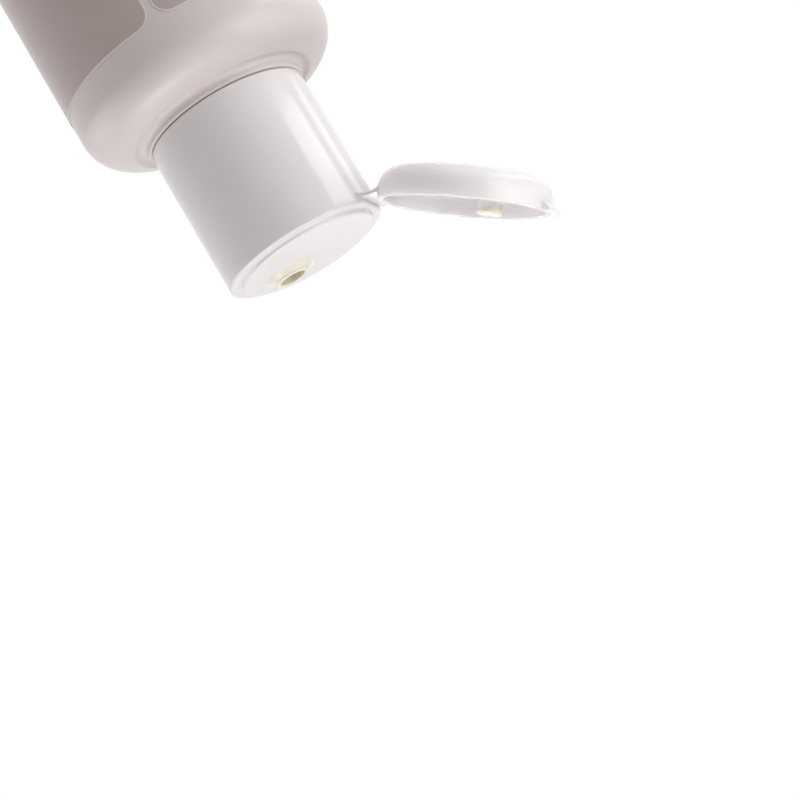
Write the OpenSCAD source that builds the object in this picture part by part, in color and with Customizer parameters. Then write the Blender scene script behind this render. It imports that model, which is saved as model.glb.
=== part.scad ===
// Squeeze bottle for facial cleanser, with a one-piece flip-top cap whose lid is open.
// It stands on its base. The origin is the centre of the base, +Z points up to the cap,
// -Y faces the front label and +Y the lid's hinge. All lengths are in millimetres.

/* [Bottle] */
// Outer diameter of the bottle's body
bottle_d = 48.5; // [46:0.5:60]
// Height of the neck ring's top face above the base
ring_top_z = 111.4; // [100:0.2:160]
// Wall of the blow-moulded bottle
bottle_wall = 1; // [0.8:0.1:1.4]
// Radius of the rounded heel round the base
heel_r = 4; // [3:0.5:6]
// Width of the flat ring that the bottle stands on
foot_w = 3; // [2:0.5:5]
// How far the middle of the base is pushed in
push_up = 2.5; // [1:0.5:4]

/* [Shoulder] */
// Height from the end of the straight wall to the neck ring's top face
shoulder_h = 8.4; // [8:0.1:9]
// Radius of the shoulder's round corner
shoulder_r = 6.5; // [6:0.1:7]
// Slope of the shoulder towards the neck, in degrees
shoulder_slope = 22; // [20:1:24]
// Radius of the soft crest between the shoulder and the groove
crest_r = 0.9; // [0.7:0.1:1.2]
// Radius of the groove round the neck ring
groove_r = 1.1; // [0.9:0.1:1.4]
// Height of the neck ring above the bottom of the groove
ring_h = 1.85; // [1.6:0.05:2.2]
// How far the neck ring stands out past the cap
ring_step = 0.3; // [0.1:0.1:0.6]
// Radius on the neck ring's upper edge
ring_edge_r = 0.3; // [0.1:0.1:0.4]

/* [Neck] */
// Outer diameter of the neck
neck_d = 19.8; // [18:0.2:20.4]
// Height of the neck above the ring
neck_h = 26.3; // [22:0.1:27]
// Wall of the neck
neck_wall = 1.6; // [1.2:0.1:2]
// How far the snap bead stands out of the neck
neck_bead = 0.9; // [0.6:0.1:1]
// Height of the snap bead's underside above the ring
neck_bead_z = 10; // [6:0.5:16]
// Height of the snap bead's wide part
neck_bead_h = 0.8; // [0.5:0.1:1.5]
// Chamfer round the mouth
mouth_chamfer = 0.3; // [0.1:0.1:0.5]
// Radius inside, where the shoulder turns into the neck's bore
throat_r = 1.2; // [0.8:0.1:1.5]

/* [Cap] */
// Outer diameter of the cap and of the lid
cap_d = 30; // [29:0.5:34]
// Height from the cap's lower edge to its rim
cap_h = 27.8; // [26:0.2:34]
// Gap between the neck ring and the cap's lower edge
cap_gap = 0.6; // [0.3:0.1:1]
// Wall of the cap's outer skirt
skirt_wall = 1.3; // [1:0.1:1.6]
// Radius on the outer edge of the rim
rim_edge_r = 0.4; // [0.2:0.1:0.6]
// Width of the ledge that the lid's rim sits on
ledge_w = 2; // [1.6:0.1:2.4]
// Height of the raised deck above the ledge
deck_rise = 0.8; // [0.5:0.1:1.2]
// Thickness of the deck
deck_t = 1.6; // [1.3:0.1:2]
// Wall of the inner sleeve that snaps over the neck
sleeve_wall = 1; // [0.8:0.1:1.3]
// Clearance between the neck's bead and the sleeve
sleeve_fit = 0.2; // [0.1:0.05:0.4]
// Height of the sleeve's lower end above the neck ring
sleeve_lift = 1.2; // [0.8:0.1:3]
// Number of ribs between the sleeve and the skirt
rib_count = 4; // [3:1:8]
// Thickness of each rib
rib_t = 0.8; // [0.6:0.1:1.2]
// Length of each rib below the deck
rib_l = 12; // [8:1:18]

/* [Neck seal] */
// Depth of the plug ring that seals inside the neck
seal_depth = 4.5; // [3:0.5:7]
// Wall of the plug ring
seal_wall = 0.8; // [0.6:0.1:1]
// Clearance between the plug ring and the neck's bore
seal_fit = 0.1; // [0.05:0.05:0.3]
// Width of the land that meets the top of the neck
land_w = 1; // [0.6:0.1:1.2]
// Gap between the land and the top of the neck
land_fit = 0.05; // [0:0.05:0.2]

/* [Nozzle] */
// Distance of the nozzle from the cap's axis, towards the front
nozzle_off = 4.5; // [3:0.5:4.5]
// Bore of the nozzle
nozzle_bore = 5; // [4.6:0.2:5.6]
// Wall of the nozzle at its lip
nozzle_wall = 0.8; // [0.6:0.1:1]
// Height of the nozzle's lip above the deck
nozzle_h = 1.9; // [1.5:0.1:2.2]
// Width of the slope that leads up to the nozzle
nozzle_flare = 3.5; // [2:0.5:4]

/* [Lid] */
// Height of the lid
lid_h = 6.6; // [5.8:0.1:8]
// Wall of the lid
lid_wall = 1.2; // [1:0.1:1.4]
// Radius of the lid's round edge
lid_edge_r = 3.6; // [2.8:0.2:4.2]
// Radius of the lid's slightly domed top
lid_dome_r = 90; // [60:5:200]
// Gap between the closed lid and the ledge
lid_gap = 0.1; // [0.05:0.05:0.3]
// How far the lid stands open, in degrees
lid_open = 143; // [91:2:151]
// Clearance between the plug and the nozzle's bore, on the radius
plug_fit = 0.3; // [0.25:0.05:0.5]
// How far the plug reaches past the lid's rim
plug_reach = 1.2; // [0:0.1:1.4]
// Radius on the plug's end
plug_end_r = 0.8; // [0.4:0.1:1.2]
// Width of the thumb tab
tab_w = 8; // [5:0.5:12]
// How far the thumb tab stands out
tab_out = 1.3; // [1:0.1:2.5]
// Thickness of the thumb tab
tab_t = 1.3; // [1:0.1:1.8]
// Chamfer on the thumb tab's upper edge
tab_chamfer = 0.6; // [0.3:0.1:0.9]

/* [Hinge] */
// Length of the strap between its two bending lines
strap_l = 2.1; // [1.8:0.1:2.5]
// Width of the strap
strap_w = 12.4; // [8:0.2:14]
// Thickness of the strap
strap_t = 0.5; // [0.4:0.05:0.6]
// How far the closed strap stands back behind the cap's wall
strap_in = 0.25; // [0.05:0.05:0.3]
// Clearance round the strap
strap_fit = 0.1; // [0.05:0.05:0.15]
// Thickness of the hinge pads at their nose
pad_nose = 0.25; // [0.2:0.05:0.5]
// Height of the hinge pads at their root, inside the wall
pad_h = 1.4; // [1:0.1:1.6]

/* [Labels] */
// Distance from the cap's lower edge down to the labels
label_drop = 13.3; // [12:0.1:30]
// Height of the labels' lower edge above the base
label_foot = 8; // [7:0.5:40]
// Thickness of the film
label_t = 0.1; // [0.05:0.05:0.2]
// Thickness of the glue between the film and the bottle
glue_t = 0.05; // [0.04:0.01:0.1]
// Width of the bare strip between the two labels
label_gap = 1.2; // [0.6:0.1:10]
// Radius of the labels' corners
label_corner_r = 3; // [1:0.5:8]
// How far the labels are turned from the hinge, in degrees
label_turn = 7.8; // [0:0.2:15]

/* [Contents] */
// Height of the cleanser's surface above the base
fill_z = 92; // [40:1:100]
// Clearance between the cleanser and the wall
fill_gap = 0.2; // [0.1:0.05:0.4]

/* [Hidden] */
$fn = 96;
arc_steps = 8;
label_steps = 48;
overlap = 0.5;

bottle_r = bottle_d / 2;
cap_r = cap_d / 2;
ring_r = cap_r + ring_step;
neck_r = neck_d / 2;
bore_r = neck_r - neck_wall;
neck_top_z = ring_top_z + neck_h;
foot_out = bottle_r - heel_r;
foot_in = foot_out - foot_w;
wall_top_z = ring_top_z - shoulder_h;
shoulder_x = bottle_r - shoulder_r;

cap_z = ring_top_z + cap_gap;
rim_z = cap_z + cap_h;
deck_z = rim_z + deck_rise;
ceiling_z = deck_z - deck_t;
deck_r = cap_r - ledge_w;
skirt_in = cap_r - skirt_wall;
sleeve_in = neck_r + neck_bead + sleeve_fit;
sleeve_out = sleeve_in + sleeve_wall;
sleeve_z = ring_top_z + sleeve_lift;
nozzle_in = nozzle_bore / 2;
nozzle_out = nozzle_in + nozzle_wall;
nozzle_z = deck_z + nozzle_h;
plug_r = nozzle_in - plug_fit;

lid_z = rim_z + lid_gap;
hinge_y = cap_r - strap_in - strap_t / 2;
strap_fold = lid_open / 2;
pad_off = strap_l / 2 + strap_t / 2 + strap_fit;
label_top_z = cap_z - label_drop;

// Points on an arc round [x, z], from angle a to angle b in degrees
function arc(x, z, r, a, b, n = arc_steps) =
    [for (i = [0:n]) let (t = a + (b - a) * i / n) [x + r * cos(t), z + r * sin(t)]];

// A list read backwards
function flip(list) = [for (i = [len(list) - 1:-1:0]) list[i]];

// Base and heel, moved inwards by t: a shallow dome, the foot ring and the round heel
function base_line(t) =
    let (dome_r = (foot_in * foot_in + push_up * push_up) / (2 * push_up))
    let (half = asin(foot_in / dome_r))
    concat(arc(0, push_up + t - dome_r, dome_r, 90, 90 - half),
           arc(foot_out, heel_r, heel_r - t, -90, 0));

// The crest's arc touches the sloping shoulder from below and the groove's arc from outside
function crest_centre() =
    let (n = [sin(shoulder_slope), cos(shoulder_slope)])
    let (along = [cos(shoulder_slope), -sin(shoulder_slope)])
    let (groove = groove_centre())
    let (depth = n * [shoulder_x, wall_top_z] + shoulder_r - crest_r - n * groove)
    let (reach = crest_r + groove_r)
    groove + depth * n + sqrt(reach * reach - depth * depth) * along;

function groove_centre() = [ring_r + groove_r, ring_top_z - ring_h + groove_r];

// Outside of the shoulder, groove and neck ring, from the straight wall up to the neck
function shoulder_line() =
    let (groove = groove_centre(), crest = crest_centre())
    let (turn = atan2(groove[1] - crest[1], groove[0] - crest[0]))
    concat(arc(shoulder_x, wall_top_z, shoulder_r, 0, 90 - shoulder_slope),
           arc(crest[0], crest[1], crest_r, 90 - shoulder_slope, turn),
           arc(groove[0], groove[1], groove_r, turn - 180, -180),
           arc(ring_r - ring_edge_r, ring_top_z - ring_edge_r, ring_edge_r, 0, 90, 4));

// Outside of the neck with its snap bead, up to the mouth
function neck_line() =
    let (bead_z = ring_top_z + neck_bead_z, bead_r = neck_r + neck_bead)
    [[neck_r, ring_top_z], [neck_r, bead_z], [bead_r, bead_z],
     [bead_r, bead_z + neck_bead_h], [neck_r, bead_z + neck_bead_h + 2 * neck_bead],
     [neck_r, neck_top_z - mouth_chamfer], [neck_r - mouth_chamfer, neck_top_z]];

// Inside of the shoulder and the neck's bore, from the straight wall up to the mouth
function inner_line() =
    let (roof_z = ring_top_z - ring_h - bottle_wall)
    concat(arc(shoulder_x, wall_top_z, shoulder_r - bottle_wall, 0, 90 - shoulder_slope),
           [[groove_centre()[0], roof_z]],
           arc(bore_r + throat_r, roof_z + throat_r, throat_r, -90, -180, 4),
           [[bore_r, neck_top_z]]);

module bottle() {
    color("#dcd6da")
    rotate_extrude()
    polygon(concat(base_line(0), shoulder_line(), neck_line(),
                   flip(inner_line()), flip(base_line(bottle_wall))));
}

// The label's columns as [angle, how much the round corner takes off the height], edge to edge
function label_columns() =
    let (half = 90 - asin((label_gap / 2 + label_t) / bottle_r))
    let (turn = asin(label_corner_r / bottle_r))
    let (corner = [for (i = [0:arc_steps]) let (t = 90 * i / arc_steps)
                   [half - turn * (1 - cos(t)), label_corner_r * (1 - sin(t))]])
    let (middle = [for (i = [1:label_steps - 1]) [(half - turn) * (2 * i / label_steps - 1), 0]])
    concat([for (c = corner) [-c[0], c[1]]], middle, flip(corner));

// A film label: a thin sheet half way round the bottle, centred on angle middle
module label(middle) {
    inner = bottle_r + glue_t;
    outer = inner + label_t;
    columns = label_columns();
    points = [for (c = columns, p = [[inner, label_foot + c[1]], [inner, label_top_z - c[1]],
                                     [outer, label_top_z - c[1]], [outer, label_foot + c[1]]])
              [p[0] * cos(middle + c[0]), p[0] * sin(middle + c[0]), p[1]]];
    last = len(points) - 4;
    strips = [for (k = [0:4:last - 4], face = [[3, 2, 6, 7], [0, 4, 5, 1], [1, 5, 6], [1, 6, 2],
                                               [0, 3, 7], [0, 7, 4]])
              [for (i = face) k + i]];
    polyhedron(points, concat(strips, [[0, 1, 2, 3], [last + 3, last + 2, last + 1, last]]));
}

module front_label() {
    color("#e6e1e4") label(270 - label_turn);
}

module back_label() {
    color("#e6e1e4") label(90 - label_turn);
}

module cleanser() {
    t = bottle_wall + fill_gap;
    color("#efe8c8")
    rotate_extrude()
    polygon(concat(base_line(t), [[bottle_r - t, fill_z], [0, fill_z]]));
}

// Revolved ring between two radii and two heights
module ring(inner, outer, low, high) {
    rotate_extrude()
    translate([inner, low]) square([outer - inner, high - low]);
}

// Skirt, rim, ledge and raised deck
module cap_shell() {
    rotate_extrude()
    polygon(concat([[skirt_in, cap_z], [cap_r, cap_z]],
                   arc(cap_r - rim_edge_r, rim_z - rim_edge_r, rim_edge_r, 0, 90, 4),
                   [[deck_r, rim_z]],
                   arc(deck_r - rim_edge_r, deck_z - rim_edge_r, rim_edge_r, 0, 90, 4),
                   [[0, deck_z], [0, ceiling_z], [skirt_in, ceiling_z]]));
}

// Sleeve with the bead that snaps under the neck's bead
module neck_sleeve() {
    bead_in = neck_r + sleeve_fit;
    bead_top = ring_top_z + neck_bead_z - sleeve_fit;
    ring(sleeve_in, sleeve_out, sleeve_z, ceiling_z + overlap);
    rotate_extrude()
    polygon([[sleeve_in + overlap, bead_top], [bead_in, bead_top], [bead_in, bead_top - neck_bead_h],
             [sleeve_in, bead_top - neck_bead_h - 2 * neck_bead], [sleeve_in + overlap, bead_top - 4 * neck_bead]]);
}

// Ribs that tie the sleeve to the skirt under the deck
module cap_ribs() {
    for (i = [0:rib_count - 1])
        rotate([0, 0, (i + 0.5) * 360 / rib_count])
        translate([sleeve_out - sleeve_wall / 2, -rib_t / 2, ceiling_z - rib_l])
        cube([skirt_in - sleeve_out + sleeve_wall / 2 + skirt_wall / 2, rib_t, rib_l + overlap]);
}

// Land and plug ring that seal the top of the neck
module neck_seal() {
    seal_out = bore_r - seal_fit;
    land_in = (bore_r + neck_r - land_w) / 2;
    ring(land_in, land_in + land_w, neck_top_z + land_fit, ceiling_z + overlap);
    ring(seal_out - seal_wall, seal_out, ceiling_z - seal_depth, ceiling_z + overlap);
}

// Nozzle that rises from the deck in a smooth quarter of an ellipse
module nozzle_body() {
    steps = 10;
    slope = [for (i = [0:steps]) let (t = 90 * i / steps)
             [nozzle_out + nozzle_flare * (1 - sin(t)), deck_z + nozzle_h * (1 - cos(t))]];
    translate([0, -nozzle_off, 0])
    rotate_extrude()
    polygon(concat([[0, ceiling_z + overlap], [nozzle_out + nozzle_flare, ceiling_z + overlap]],
                   slope, [[0, nozzle_z]]));
}

module nozzle_hole() {
    translate([0, -nozzle_off, ceiling_z - 1])
    cylinder(h = nozzle_z - ceiling_z + 2, r = nozzle_in, $fn = 64);
}

// Pad that carries one bending line of the strap, clear of the strap at height 0 and below it
module hinge_pad() {
    root_y = sqrt(cap_r * cap_r - strap_w * strap_w / 4) - overlap;
    nose_y = hinge_y + strap_t / 2;
    translate([-strap_w / 2, 0, 0])
    rotate([90, 0, 90])
    linear_extrude(strap_w)
    polygon([[root_y, 0], [nose_y, 0], [nose_y, -pad_nose], [root_y, -pad_h]]);
}

// Room for the closed strap in the wall, down into the pad's own place
module hinge_notch() {
    notch_y = hinge_y - strap_t / 2 - 2 * strap_fit;
    translate([-strap_w / 2 - 2 * strap_fit, notch_y, -pad_nose / 2])
    cube([strap_w + 4 * strap_fit, cap_r, pad_off + pad_nose]);
}

module cap() {
    color("#f2eff2")
    difference() {
        union() {
            difference() {
                cap_shell();
                translate([0, 0, rim_z - pad_off]) hinge_notch();
            }
            difference() {
                translate([0, 0, rim_z - pad_off]) hinge_pad();
                translate([0, 0, rim_z - pad_off - 2 * pad_h]) cylinder(h = 3 * pad_h, r = cap_r - skirt_wall / 2);
            }
            neck_sleeve();
            cap_ribs();
            neck_seal();
            nozzle_body();
        }
        nozzle_hole();
    }
}

// Side of the lid, moved inwards by t: straight wall, round edge and domed top, from its rim at 0
function lid_line(t) =
    let (edge_x = cap_r - lid_edge_r)
    let (dome_z = lid_h - lid_dome_r)
    let (edge_z = dome_z + sqrt(pow(lid_dome_r - lid_edge_r, 2) - edge_x * edge_x))
    let (lean = asin(edge_x / (lid_dome_r - lid_edge_r)))
    concat(arc(edge_x, edge_z, lid_edge_r - t, 0, 90 - lean),
           arc(0, dome_z, lid_dome_r - t, 90 - lean, 90));

// Plug that closes the nozzle: it ends in the middle of the lid's top wall
module lid_plug() {
    root_z = lid_h - 2 / 3 * lid_wall;
    translate([0, -nozzle_off, 0])
    rotate_extrude($fn = 64)
    polygon(concat([[0, root_z], [0, -plug_reach]],
                   arc(plug_r - plug_end_r, plug_end_r - plug_reach, plug_end_r, -90, 0, 6),
                   [[plug_r, root_z]]));
}

module thumb_tab() {
    nose_y = cap_r + tab_out;
    intersection() {
        translate([-tab_w / 2, 0, 0])
        rotate([90, 0, 90])
        linear_extrude(tab_w)
        polygon([[-cap_r + lid_wall / 2, 0], [-nose_y, 0], [-nose_y, tab_t - tab_chamfer],
                 [-nose_y + tab_chamfer, tab_t], [-cap_r + lid_wall / 2, tab_t]]);
        cylinder(h = 2 * tab_t, r = nose_y);
    }
}

// The lid as it sits when it is closed, with its rim at height 0
module closed_lid() {
    pad_z = pad_off - lid_gap;
    difference() {
        union() {
            difference() {
                rotate_extrude() polygon(concat([[0, 0], [cap_r, 0]], lid_line(0)));
                translate([0, 0, pad_z]) mirror([0, 0, 1]) hinge_notch();
            }
            translate([0, 0, pad_z]) mirror([0, 0, 1]) hinge_pad();
            thumb_tab();
        }
        translate([0, 0, -1])
        rotate_extrude() polygon(concat([[0, 0], [cap_r - lid_wall, 0]],
                                        [for (p = lid_line(lid_wall)) [p[0], p[1] + 1]]));
    }
    lid_plug();
}

// Turn about a line parallel to X through [y, z]
module swing(y, z, angle) {
    translate([0, y, z]) rotate([angle, 0, 0]) translate([0, -y, -z]) children();
}

// Carry a piece from its closed place to the open one, with the strap or with the lid
module with_strap() {
    swing(hinge_y, rim_z - strap_l / 2, -strap_fold) children();
}

module with_lid() {
    with_strap() swing(hinge_y, rim_z + strap_l / 2, -strap_fold) children();
}

// Flat strap with a round bending line at each end
module hinge_strap() {
    color("#f2eff2")
    with_strap()
    translate([-strap_w / 2, hinge_y, rim_z])
    rotate([90, 0, 90])
    linear_extrude(strap_w) {
        translate([-strap_t / 2, -strap_l / 2]) square([strap_t, strap_l]);
        for (end = [-1, 1]) translate([0, end * strap_l / 2]) circle(strap_t / 2, $fn = 32);
    }
}

module lid() {
    color("#f2eff2")
    with_lid()
    translate([0, 0, lid_z]) closed_lid();
}

bottle();
front_label();
back_label();
cleanser();
cap();
hinge_strap();
lid();
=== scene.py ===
# %% [markdown]
# # A squeeze bottle with a flip-top lid, open
#
# This lesson dresses the imported model of a white cleanser bottle. The bottle is blown from a soft
# plastic, two film labels go round it, and a cap moulded in one shot with its lid snaps on the neck.
# The imported model already knows how the lid moves, so the pieces made here are laid exactly over
# the plain solids that they stand for and ride on the same bodies; the strap's two flares ride on none.

import math

import bmesh
import bpy
import numpy as np
from mathutils import Matrix, Vector


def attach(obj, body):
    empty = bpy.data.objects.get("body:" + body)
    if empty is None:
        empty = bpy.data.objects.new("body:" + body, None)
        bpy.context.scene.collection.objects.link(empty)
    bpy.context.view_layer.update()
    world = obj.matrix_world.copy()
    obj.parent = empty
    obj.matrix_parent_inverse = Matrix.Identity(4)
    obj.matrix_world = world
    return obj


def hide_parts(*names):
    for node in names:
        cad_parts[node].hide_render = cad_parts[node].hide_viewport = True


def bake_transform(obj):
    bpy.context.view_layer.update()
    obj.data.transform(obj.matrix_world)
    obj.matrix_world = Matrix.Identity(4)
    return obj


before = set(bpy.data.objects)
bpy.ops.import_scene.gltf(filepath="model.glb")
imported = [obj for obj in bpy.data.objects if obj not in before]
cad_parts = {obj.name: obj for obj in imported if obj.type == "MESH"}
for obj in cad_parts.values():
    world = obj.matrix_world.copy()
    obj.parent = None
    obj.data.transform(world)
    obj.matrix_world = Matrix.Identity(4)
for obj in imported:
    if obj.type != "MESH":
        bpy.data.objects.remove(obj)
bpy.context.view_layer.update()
scene = bpy.context.scene

# %% [markdown]
# ## The camera
#
# The bottle is seen tipped over, with its cap at the bottom and its lid at the right. The bottle
# itself stands upright here, so it is the camera that is rolled over instead. Its place and its
# three directions were fitted to the outlines of the cap, the shoulder and the lid. A camera's own
# axes are right, up and backwards, which is why two of the three directions change their sign.

# %% Set the camera
MM = 0.001
camera_place = Vector((-425.485, 90.759, 260.608)) * MM
look_right = Vector((0.27909, 0.81909, 0.50120))
look_down = Vector((0.06392, -0.53663, 0.84139))
look_ahead = Vector((0.95814, -0.20279, -0.20212))

camera_data = bpy.data.cameras.new("camera")
camera_data.lens = 117.0
camera_data.sensor_width = 36.0
camera_data.clip_start = 0.01
camera_data.clip_end = 200.0
camera = bpy.data.objects.new("camera", camera_data)
turn = Matrix((look_right, -look_down, -look_ahead)).transposed().to_4x4()
camera.matrix_world = Matrix.Translation(camera_place) @ turn
scene.collection.objects.link(camera)
scene.camera = camera
print("camera:", round(camera_place.length, 3), "m from the middle of the base")

# %% [markdown]
# ## Small helpers
#
# Nearly everything on a bottle is turned: a profile carried round an axis. A profile is a list of
# radius and height, written in millimetres as on a drawing. Sharp corners never leave a mould, so
# one helper rounds each corner of a profile with a true arc.


# %% Profiles
def arc(x, z, radius, first, last, steps=10):
    """Points on a circle: x + radius cos(angle), z + radius sin(angle), angle from first to last."""
    angle = np.radians(np.linspace(first, last, steps + 1))
    return np.stack([x + radius * np.cos(angle), z + radius * np.sin(angle)], axis=1)


def soften(corners, steps=6):
    """Round the corners of a line. Each corner is (x, z, radius). The arc's centre lies on the
    corner's half angle, radius / sin(half angle) away, and it touches both sides."""
    points = [np.array(corners[0][:2], float)[None]]
    for before, corner, after in zip(corners[:-2], corners[1:-1], corners[2:]):
        here = np.array(corner[:2], float)
        if corner[2] == 0:
            points.append(here[None])
            continue
        back = np.array(before[:2], float) - here
        ahead = np.array(after[:2], float) - here
        back /= np.linalg.norm(back)
        ahead /= np.linalg.norm(ahead)
        half = math.acos(np.clip(back @ ahead, -1, 1)) / 2
        middle = (back + ahead) / np.linalg.norm(back + ahead)
        centre = here + middle * corner[2] / math.sin(half)
        start = here + back * corner[2] / math.tan(half) - centre
        end = here + ahead * corner[2] / math.tan(half) - centre
        spread = math.acos(np.clip(start @ end / corner[2] ** 2, -1, 1))
        share = np.linspace(0, 1, steps + 1)[:, None]
        points.append(centre + (np.sin((1 - share) * spread) * start
                                + np.sin(share * spread) * end) / math.sin(spread))
    points.append(np.array(corners[-1][:2], float)[None])
    return np.vstack(points)


def turned(profile, angles, middle=0.0):
    """Carry a profile round an upright axis: x = radius cos(angle), y = middle + radius sin(angle),
    z = height. middle may be one number or one for each row, where the axis moves."""
    radius = profile[:, :1]
    middle = np.broadcast_to(np.reshape(middle, (-1, 1)), radius.shape)
    return np.stack([radius * np.cos(angles), middle + radius * np.sin(angles),
                     profile[:, 1:] + 0 * angles], axis=-1)


def round_angles(count):
    """Even steps once round, the last one step short of the first."""
    return np.linspace(0, 2 * np.pi, count, endpoint=False)


# %% [markdown]
# A surface is a grid of points. This helper joins neighbours into four-sided faces, closes the
# seam, merges the points that meet at a pole, and turns every face outwards. Several grids may go
# into one mesh, as when a cap and its ribs are moulded together.


# %% Grids into meshes
same_point, no_length = 2e-7, 1e-7


def piece(name, grids, body, material, stands_for=(), loops=None, marks=None, crease=38):
    """Build one mesh from grids in millimetres. Point (i, j) joins (i, j+1), (i+1, j+1) and (i+1, j),
    and the last column joins the first. Where loops says so, the last row joins the first too."""
    loops = loops or [False] * len(grids)
    points, faces, start = [], [], 0
    for grid, loop in zip(grids, loops):
        rows, columns = grid.shape[:2]
        index = start + np.arange(rows * columns).reshape(rows, columns)
        index = np.hstack([index, index[:, :1]])
        if loop:
            index = np.vstack([index, index[:1]])
        faces.append(np.stack([index[:-1, :-1], index[:-1, 1:], index[1:, 1:], index[1:, :-1]],
                              axis=-1).reshape(-1, 4))
        points.append(grid.reshape(-1, 3) * MM)
        start += rows * columns
    mesh = bpy.data.meshes.new(name)
    mesh.from_pydata(np.vstack(points), [], np.vstack(faces))
    for mark, values in (marks or {}).items():
        attribute = mesh.attributes.new(mark, "FLOAT", "POINT")
        attribute.data.foreach_set("value", np.ravel(values).astype(np.float32))
    work = bmesh.new()
    work.from_mesh(mesh)
    bmesh.ops.remove_doubles(work, verts=work.verts, dist=same_point)
    bmesh.ops.dissolve_degenerate(work, edges=work.edges, dist=no_length)
    bmesh.ops.recalc_face_normals(work, faces=work.faces)
    open_edges = sum(len(edge.link_faces) != 2 for edge in work.edges)
    work.to_mesh(mesh)
    work.free()
    mesh.shade_smooth()
    mesh.set_sharp_from_angle(angle=math.radians(crease))
    made = bpy.data.objects.new(name, mesh)
    scene.collection.objects.link(made)
    made.data.materials.append(material)
    if body:
        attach(made, body)
    if stands_for:
        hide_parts(*stands_for)
    print(f"{name}: {len(mesh.polygons)} faces, open edges: {open_edges}")
    return made


# %% [markdown]
# ## Materials
#
# The bottle is blown from polyethylene, which has a satin skin with a slow ripple where the soft
# tube froze against the mould. The cap is injection moulded from polypropylene, which is harder and
# glossier. What the two share is kept in a node group: a cloudy shade, a ripple, a fine grain and
# the hair scratches of a thing that was handled.
#
# The group puts out three things. The cloudy shade makes the colour a little lighter and darker over
# a few centimetres. Smudges and hair scratches raise the roughness where hands have been. The height
# adds the slow ripple and the fine grain, and the material turns it into a bump.
#
# The lid is thin enough for light to come through it, so its plastic scatters light under the skin.
# The strap and the thumb tab are thicker at their roots and stay opaque. Their colour is painted
# lighter than the cap's, which stands in for the light that reaches them through the plastic.


# %% Node helpers
def node(tree, kind, settings=None, **values):
    """Add a node, set its options, and set the inputs that are named."""
    made = tree.nodes.new(kind)
    for option, value in (settings or {}).items():
        setattr(made, option, value)
    for name, value in values.items():
        made.inputs[name.replace("_", " ")].default_value = value
    return made


def join(tree, outlet, inlet):
    """Wire one socket to another."""
    tree.links.new(outlet, inlet)


def new_group(name, inlets, outlets):
    """Make an empty node group with its named sockets. Each is a name, a kind and a start value."""
    group = bpy.data.node_groups.new(name, "ShaderNodeTree")
    for socket_name, kind, value in inlets:
        socket = group.interface.new_socket(socket_name, in_out="INPUT", socket_type=kind)
        socket.default_value = value
    for socket_name, kind in outlets:
        group.interface.new_socket(socket_name, in_out="OUTPUT", socket_type=kind)
    return group, group.nodes.new("NodeGroupInput"), group.nodes.new("NodeGroupOutput")


# %% The skin of moulded plastic
skin, skin_in, skin_out = new_group(
    "moulded_skin",
    [("Colour", "NodeSocketColor", (0.8, 0.8, 0.8, 1)),
     ("Cloud", "NodeSocketFloat", 0.03),
     ("Gloss", "NodeSocketFloat", 0.3),
     ("Handling", "NodeSocketFloat", 0.08),
     ("Ripple Size", "NodeSocketFloat", 60.0),
     ("Ripple", "NodeSocketFloat", 1.0),
     ("Grain", "NodeSocketFloat", 0.2)],
    [("Colour", "NodeSocketColor"), ("Roughness", "NodeSocketFloat"), ("Height", "NodeSocketFloat")])
place = node(skin, "ShaderNodeTexCoord")
cloud = node(skin, "ShaderNodeTexNoise", Scale=45.0, Detail=3.0, Roughness=0.55)
cloud_span = node(skin, "ShaderNodeMapRange", **{"From_Min": 0.3, "From_Max": 0.7, "To_Min": -0.5,
                                                 "To_Max": 0.5})
cloud_share = node(skin, "ShaderNodeMath", {"operation": "MULTIPLY"})
cloud_value = node(skin, "ShaderNodeMath", {"operation": "ADD"})
cloud_value.inputs[1].default_value = 1.0
tint = node(skin, "ShaderNodeHueSaturation")
join(skin, place.outputs["Object"], cloud.inputs["Vector"])
join(skin, cloud.outputs["Fac"], cloud_span.inputs["Value"])
join(skin, cloud_span.outputs["Result"], cloud_share.inputs[0])
join(skin, skin_in.outputs["Cloud"], cloud_share.inputs[1])
join(skin, cloud_share.outputs[0], cloud_value.inputs[0])
join(skin, cloud_value.outputs[0], tint.inputs["Value"])
join(skin, skin_in.outputs["Colour"], tint.inputs["Color"])
join(skin, tint.outputs["Color"], skin_out.inputs["Colour"])

stretch = node(skin, "ShaderNodeMapping", Rotation=(0.35, 0.5, 0.2), Scale=(1.0, 1.0, 0.06))
hair = node(skin, "ShaderNodeTexNoise", Scale=900.0, Detail=2.0, Roughness=0.6)
hair_line = node(skin, "ShaderNodeMapRange", **{"From_Min": 0.66, "From_Max": 0.74})
smudge = node(skin, "ShaderNodeTexNoise", Scale=120.0, Detail=4.0, Roughness=0.6, Distortion=0.6)
smudge_span = node(skin, "ShaderNodeMapRange", **{"From_Min": 0.35, "From_Max": 0.75})
handled = node(skin, "ShaderNodeMath", {"operation": "MAXIMUM"})
handled_share = node(skin, "ShaderNodeMath", {"operation": "MULTIPLY_ADD"})
join(skin, place.outputs["Object"], stretch.inputs["Vector"])
join(skin, stretch.outputs["Vector"], hair.inputs["Vector"])
join(skin, hair.outputs["Fac"], hair_line.inputs["Value"])
join(skin, place.outputs["Object"], smudge.inputs["Vector"])
join(skin, smudge.outputs["Fac"], smudge_span.inputs["Value"])
join(skin, hair_line.outputs["Result"], handled.inputs[0])
join(skin, smudge_span.outputs["Result"], handled.inputs[1])
join(skin, handled.outputs[0], handled_share.inputs[0])
join(skin, skin_in.outputs["Handling"], handled_share.inputs[1])
join(skin, skin_in.outputs["Gloss"], handled_share.inputs[2])
join(skin, handled_share.outputs[0], skin_out.inputs["Roughness"])

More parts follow.
